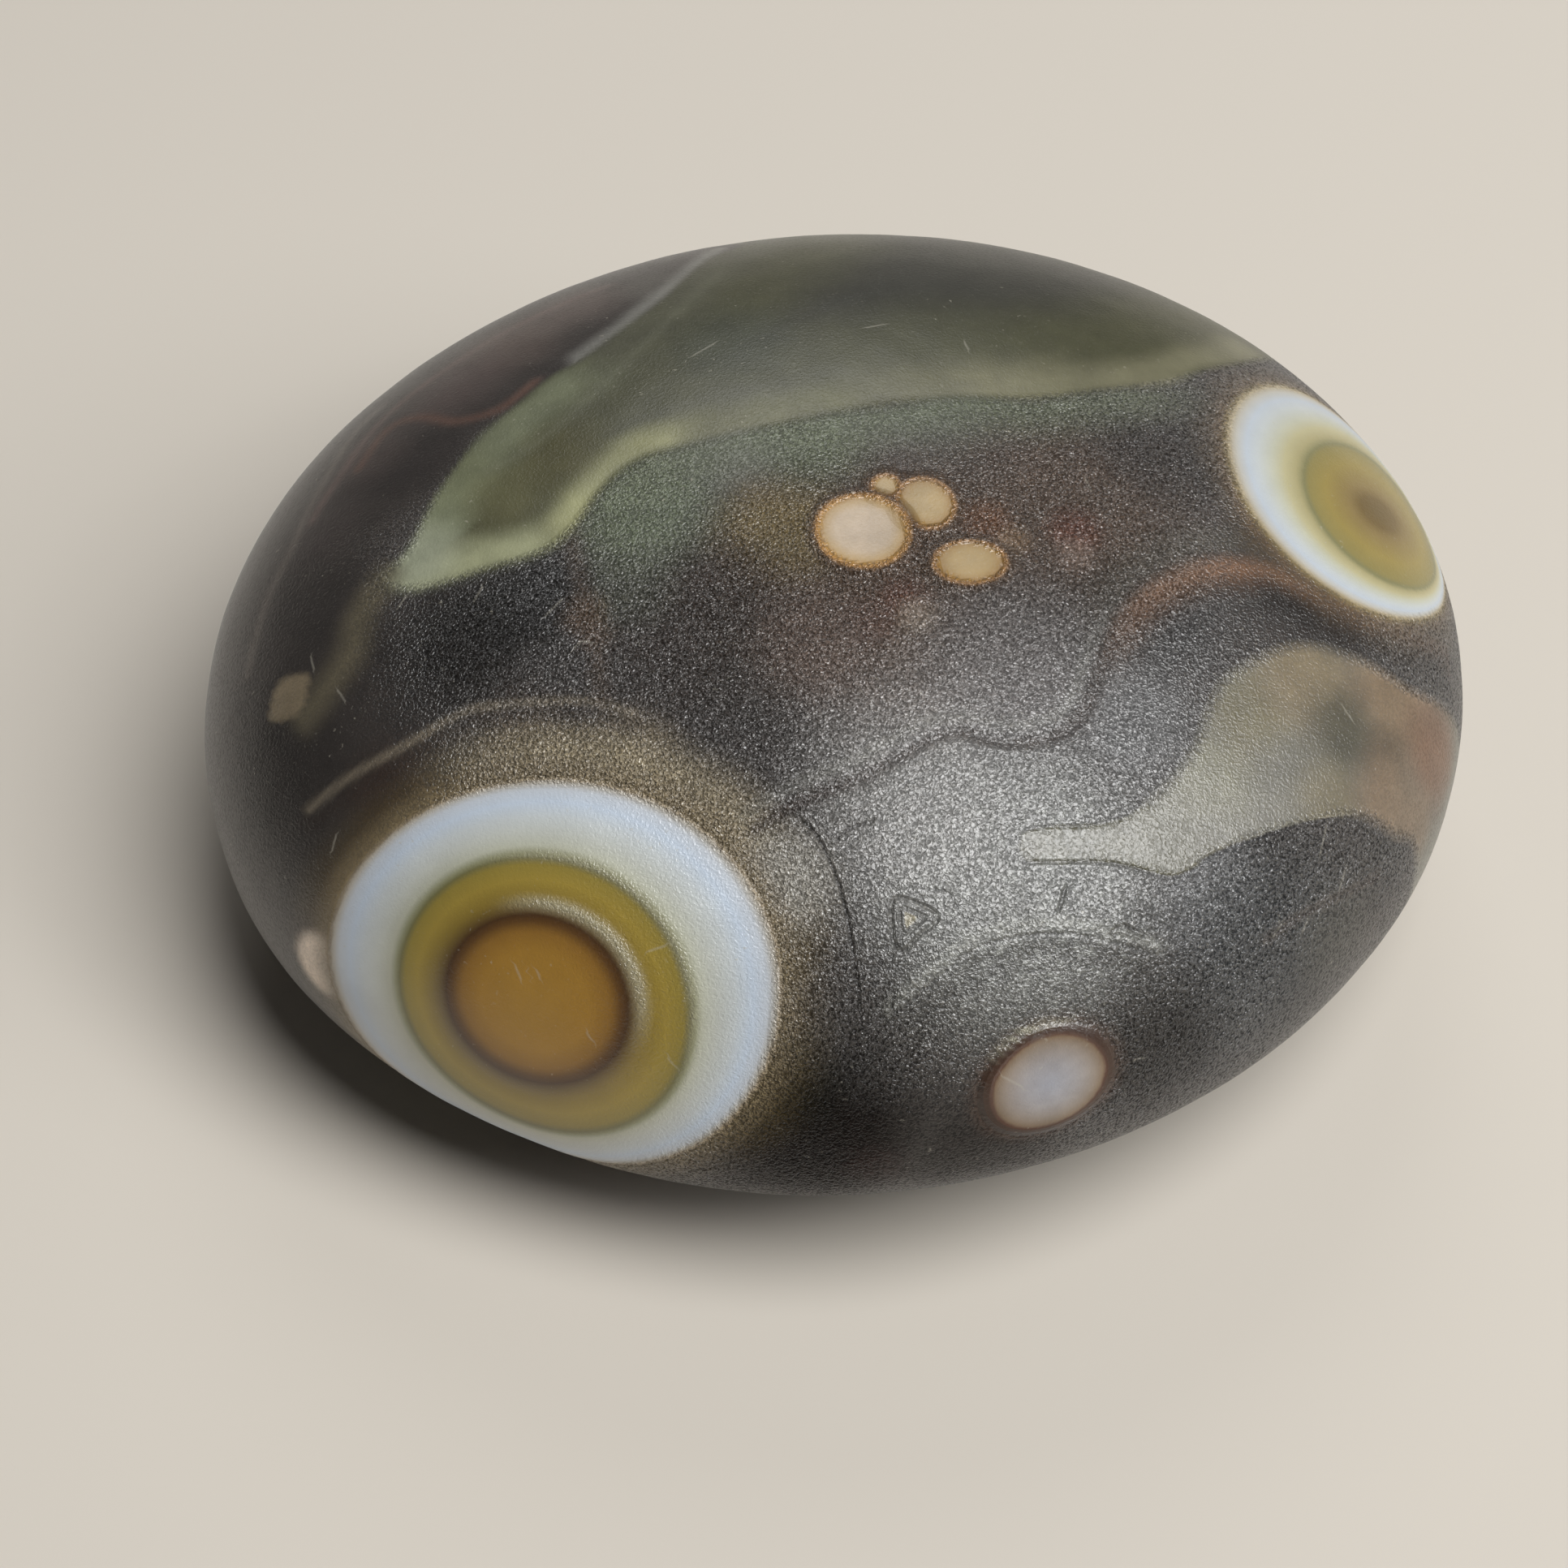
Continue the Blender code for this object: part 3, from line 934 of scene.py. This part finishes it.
class Shader:
    """Short names for the nodes of one material."""

    def __init__(self, material):
        material.use_nodes = True
        self.nodes = material.node_tree.nodes
        self.links = material.node_tree.links
        self.principled = self.nodes["Principled BSDF"]
        self.place = self.nodes.new("ShaderNodeTexCoord").outputs["Object"]

    def feed(self, socket, value):
        if isinstance(value, bpy.types.NodeSocket):
            self.links.new(value, socket)
        elif hasattr(socket.default_value, "__len__") and len(value) == 3:
            socket.default_value = (*value, 1.0)
        else:
            socket.default_value = value

    def add(self, kind, inputs, **settings):
        """The outputs of a new node with the given settings, fed by a dict of inputs."""
        node = self.nodes.new("ShaderNode" + kind)
        for name, value in settings.items():
            setattr(node, name, value)
        for key, value in inputs.items():
            self.feed(node.inputs[key], value)
        return node.outputs

    def attribute(self, name, output="Fac"):
        return self.add("Attribute", {}, attribute_name=name)[output]

    def noise(self, period, detail=2.0, roughness=0.5, distortion=0.0):
        inputs = {"Vector": self.place, "Scale": 1 / period, "Detail": detail, "Roughness": roughness}
        return self.add("TexNoise", {**inputs, "Distortion": distortion})["Fac"]

    def math(self, operation, first, second=0.0):
        return self.add("Math", {0: first, 1: second}, operation=operation)[0]

    def times(self, first, second):
        return self.math("MULTIPLY", first, second)

    def without(self, share):
        return self.math("SUBTRACT", 1.0, share)

    def apart(self, value, middle):
        """How far a value is from a middle, either way."""
        return self.math("ABSOLUTE", self.math("SUBTRACT", value, middle))

    def span(self, value, low, high, to_low=0.0, to_high=1.0):
        """Maps low..high onto to_low..to_high and keeps within them."""
        ends = {"From Min": low, "From Max": high, "To Min": to_low, "To Max": to_high}
        return self.add("MapRange", {"Value": value, **ends})["Result"]

    def mix_values(self, share, under, over):
        """under where share is 0 and over where it is 1."""
        return self.math("ADD", under, self.times(share, self.math("SUBTRACT", over, under)))

    def ramp(self, value, stops, top):
        """Colours at values from 0 to top."""
        node = self.nodes.new("ShaderNodeValToRGB")
        elements = node.color_ramp.elements
        while len(elements) < len(stops):
            elements.new(1.0)
        for element, (position, code) in zip(elements, stops.items()):
            element.position = position / top
            element.color = (*hex_colour(code), 1.0)
        self.links.new(self.math("DIVIDE", value, top), node.inputs["Fac"])
        return node.outputs["Color"]

    def mix(self, share, under, over, blend="MIX"):
        inputs = {"Factor": share, 6: under, 7: over}
        return self.add("Mix", inputs, data_type="RGBA", blend_type=blend)[2]

    def grey(self, value):
        return self.add("CombineColor", {"Red": value, "Green": value, "Blue": value})[0]

    def line_share(self, name, half_width):
        """1 on the fine lines of a table, falling to 0 half_width away."""
        share = self.span(self.math("ABSOLUTE", self.attribute(name)), half_width, 0.2 * half_width)
        return self.times(share, self.attribute(name + "_strength"))


def stone_height(s, grain):
    """The fine relief in metres: leathery grain, grooves along cracks and folds, and small raised edges."""
    height = s.times(s.times(grain, s.attribute("grain")), GRAIN_HEIGHT)
    triangle = s.attribute("triangle")
    front = s.attribute("front_spot")
    near = s.attribute("near_eye")
    for share, rise in (
        (s.line_share("crack", 0.10 * MM), -0.055),
        (s.line_share("fold", 0.36 * MM), -0.060),
        (s.span(s.math("ABSOLUTE", triangle), 0.10 * MM, 0.01 * MM), -0.050),  # the triangle's edge
        (s.span(s.apart(triangle, 0.26 * MM), 0.07 * MM, 0.01 * MM), -0.030),  # a second one inside it
        (s.span(triangle, 0.40 * MM, 0.5 * MM), -0.03),
        (s.span(front, 1.40, 1.22), 0.090),  # the worn rims round the spots
        (s.span(front, 1.06, 1.0), -0.02),
        (s.span(s.attribute("large_spot"), 1.42, 1.20), 0.045),
        (s.span(s.attribute("small_spots"), 1.50, 1.22), 0.040),
        (s.span(s.apart(near, 3.08), 0.09, 0.01), -0.025),  # the groove round the near eye
    ):
        height = s.math("ADD", height, s.times(share, rise * MM))
    return height


def mark_colours(s, colour):
    """The eyes' and spots' rings over the ground, with a painted highlight on the raised rims."""
    for name, (top, outside, inside, colours) in MARK_COLOURS.items():
        rings = s.attribute(name)
        colour = s.mix(s.span(rings, outside, inside), colour, s.ramp(rings, colours, top))
    # Pale crescents of painted highlight on the raised rims
    return s.mix(s.attribute("worn_rims"), colour, hex_colour(RIM_HIGHLIGHT_COLOUR))


def stone_colour(s, on_eyes):
    band = s.span(s.attribute("cream_share"), 0.3, 0.7)
    colour = s.mix(band, s.attribute("ground", "Color"), s.attribute("cream_band", "Color"))
    colour = mark_colours(s, colour)

    flake = s.times(s.span(s.attribute("triangle"), 0.36 * MM, 0.42 * MM), 0.6)
    colour = s.mix(flake, colour, hex_colour(TRIANGLE_COLOUR))
    flakes = s.span(s.noise(0.34 * MM, 4.0, 0.65, 0.6), 0.50, 0.60)
    frost = s.times(s.times(s.attribute("frost"), flakes), 0.45)
    colour = s.mix(frost, colour, hex_colour(FROST_COLOUR))
    # Cracks darkened, partly with painted shade in their grooves
    crack = s.times(s.line_share("crack", 0.08 * MM), 0.75)
    colour = s.mix(crack, colour, hex_colour(CRACK_AND_SHADE_COLOUR))

    mottle = s.span(s.noise(1.1 * MM, 4.0, 0.6), 0.3, 0.7, 0.86, 1.14)
    mottled = s.mix(1.0, colour, s.grey(mottle), "MULTIPLY")
    colour = s.mix(s.without(s.times(on_eyes, 0.75)), colour, mottled)
    fleck_zones = s.span(s.noise(2.0 * MM), 0.45, 0.7)
    flecks = s.times(s.times(s.span(s.noise(0.16 * MM, 1.0), 0.70, 0.76), fleck_zones), 0.4)
    colour = s.mix(flecks, colour, hex_colour(FLECK_COLOUR))
    scratch = s.times(s.line_share("scratch", 0.06 * MM), 0.28)
    return s.mix(scratch, colour, hex_colour(SCRATCH_COLOUR))


def stone_material():
    """Frosted stone. The grain's pits are rough, and painted shade makes them dark and dull; painted light
    makes its ridges paler, and they catch the light.
    """
    material = bpy.data.materials.new("frosted_agate")
    s = Shader(material)
    shader = s.principled.inputs
    eyes = [s.span(s.attribute(name), 3.05, 2.9) for name in ("near_eye", "far_eye")]
    on_eyes = s.math("MAXIMUM", *eyes)
    grain = s.noise(GRAIN_PERIOD, 1.0, 0.5, 0.6)
    depth = s.attribute("grain")

    # Painted shade and light in the colour: the grain's pits darker, its ridges paler
    pitted = s.times(s.span(depth, 0.3, 1.2), s.without(on_eyes))
    pits = s.mix_values(pitted, 1.0, s.span(grain, 0.36, 0.64, 0.60, 1.40))
    s.feed(shader["Base Color"], s.mix(1.0, stone_colour(s, on_eyes), s.grey(pits), "MULTIPLY"))

    grained = s.span(grain, 0.36, 0.52, PIT_ROUGHNESS, RIDGE_ROUGHNESS)
    s.feed(shader["Roughness"], s.mix_values(s.span(depth, 0.0, 1.2), SMOOTH_ROUGHNESS, grained))

    # Painted shade in the reflection: the grain's pits reflect less
    deep = s.times(s.span(depth, 0.2, 3.2), s.without(on_eyes))
    pit_shade_in_reflection = s.mix_values(deep, SMOOTH_SHINE, s.span(grain, 0.34, 0.52, SHADED_PIT_SHINE, 1.0))
    # The shine attribute carries painted shade on the reflection
    s.feed(shader["Specular Tint"], s.grey(s.times(pit_shade_in_reflection, s.attribute("shine"))))

    for name, value in GLOSS.items():
        s.feed(shader[name], value)
    bump = s.add("Bump", {"Strength": 1.0, "Distance": 1.0, "Height": stone_height(s, grain)})
    s.feed(shader["Normal"], bump["Normal"])
    return material


# The pebble


def add_object(name, data):
    thing = bpy.data.objects.new(name, data)
    bpy.context.scene.collection.objects.link(thing)
    return thing


def set_attribute(mesh, name, values):
    mesh.attributes.new(name, "FLOAT", "POINT").data.foreach_set("value", np.asarray(values, "f"))


def set_colours(mesh, name, values):
    colours = np.append(values, np.ones((len(values), 1)), axis=1)
    mesh.attributes.new(name, "FLOAT_COLOR", "POINT").data.foreach_set("color", colours.astype("f").ravel())


def dress(mesh, skin):
    """Gives the mesh the values that its material reads."""
    cream, cream_share = paint_cream_band(skin)
    set_colours(mesh, "ground", paint_ground(skin))
    set_colours(mesh, "cream_band", cream)
    # The raised rims that carry a painted highlight
    rims = worn_rims(skin)
    marks = ("near eye", "far eye", "front spot", "large spot")
    values = {
        **{mark.replace(" ", "_"): skin.count(mark) for mark in marks},
        "cream_share": cream_share,
        "small_spots": np.min([skin.count(name) for name in SPOT_GROUP[1:]], axis=0),
        "triangle": skin.loop("triangle")[0],
        "worn_rims": rims,
        "grain": grain_strength(skin) + RIM_HIGHLIGHT_GRAIN * rims,
        "shine": shine_under_painted_shade(skin),
        "frost": smooth_drop(2.0 * MM, 5.0 * MM, skin.distance(FROST_PLACE)),
    }
    scratches = [(1.0, places) for places in PICTURE_SCRATCHES]
    fine_lines = {"crack": PICTURE_CRACKS.values(), "fold": PICTURE_FOLDS.values(), "scratch": scratches}
    for name, lines in fine_lines.items():
        values[name], values[name + "_strength"] = skin.strokes(lines)
    for name, value in values.items():
        set_attribute(mesh, name, value)


def build_pebble():
    directions, quads = cube_sphere()
    points = pebble_points(directions)
    mesh = bpy.data.meshes.new("pebble_skin")
    mesh.from_pydata(points.tolist(), [], quads.tolist())
    normals = np.empty(len(points) * 3, "f")
    mesh.vertex_normals.foreach_get("vector", normals)
    normals = normals.reshape(-1, 3)
    skin = Skin(points, normals)
    lift = (relief(skin) - SKIN_DEPTH) * smooth_step(0.0, SKIN_FULL_HEIGHT, points[:, 2])
    lifted = np.clip(points + normals * lift[:, None], *map(np.array, CAD_BOX))
    mesh.vertices.foreach_set("co", lifted.astype("f").ravel())
    dress(mesh, skin)
    mesh.shade_smooth()
    mesh.materials.append(stone_material())
    pebble = add_object("agate_pebble", mesh)
    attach(pebble, "root")
    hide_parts(PEBBLE_NODE)


# The studio


def build_floor():
    mesh = bpy.data.meshes.new("floor")
    corners = [(-1, -1), (1, -1), (1, 1), (-1, 1)]
    mesh.from_pydata([(x * FLOOR_HALF, y * FLOOR_HALF, 0) for x, y in corners], [], [(0, 1, 2, 3)])
    material = bpy.data.materials.new("floor")
    material.use_nodes = True
    shader = material.node_tree.nodes["Principled BSDF"]
    shader.inputs["Base Color"].default_value = (*hex_colour(FLOOR_COLOUR), 1.0)
    shader.inputs["Roughness"].default_value = FLOOR_ROUGHNESS
    mesh.materials.append(material)
    floor = add_object("floor", mesh)


def build_lights():
    for name, (azimuth, elevation, width, height, watts) in LIGHTS.items():
        light = bpy.data.lights.new(name, "AREA")
        light.shape = "ELLIPSE"
        light.size, light.size_y = width, height
        light.energy = watts
        lamp = add_object(name, light)
        lamp.location = toward(azimuth, elevation) * LIGHT_DISTANCE
        lamp.rotation_euler = toward(azimuth, elevation).to_track_quat("Z", "Y").to_euler()
    world = bpy.data.worlds.new("studio")
    world.use_nodes = True
    background = world.node_tree.nodes["Background"]
    background.inputs["Color"].default_value = GLOW_COLOUR
    background.inputs["Strength"].default_value = GLOW
    bpy.context.scene.world = world


def build_camera():
    lens = bpy.data.cameras.new("camera")
    lens.sensor_width = SENSOR_MM
    lens.lens = LENS_MM
    lens.clip_start = CLIP_START
    camera = add_object("camera", lens)
    camera.location = camera_place
    camera.rotation_euler = (math.pi / 2 - CAMERA_ELEVATION, 0.0, CAMERA_AZIMUTH)
    bpy.context.scene.camera = camera


build_pebble()
build_floor()
build_lights()
build_camera()
bpy.context.scene.view_settings.view_transform = "Standard"
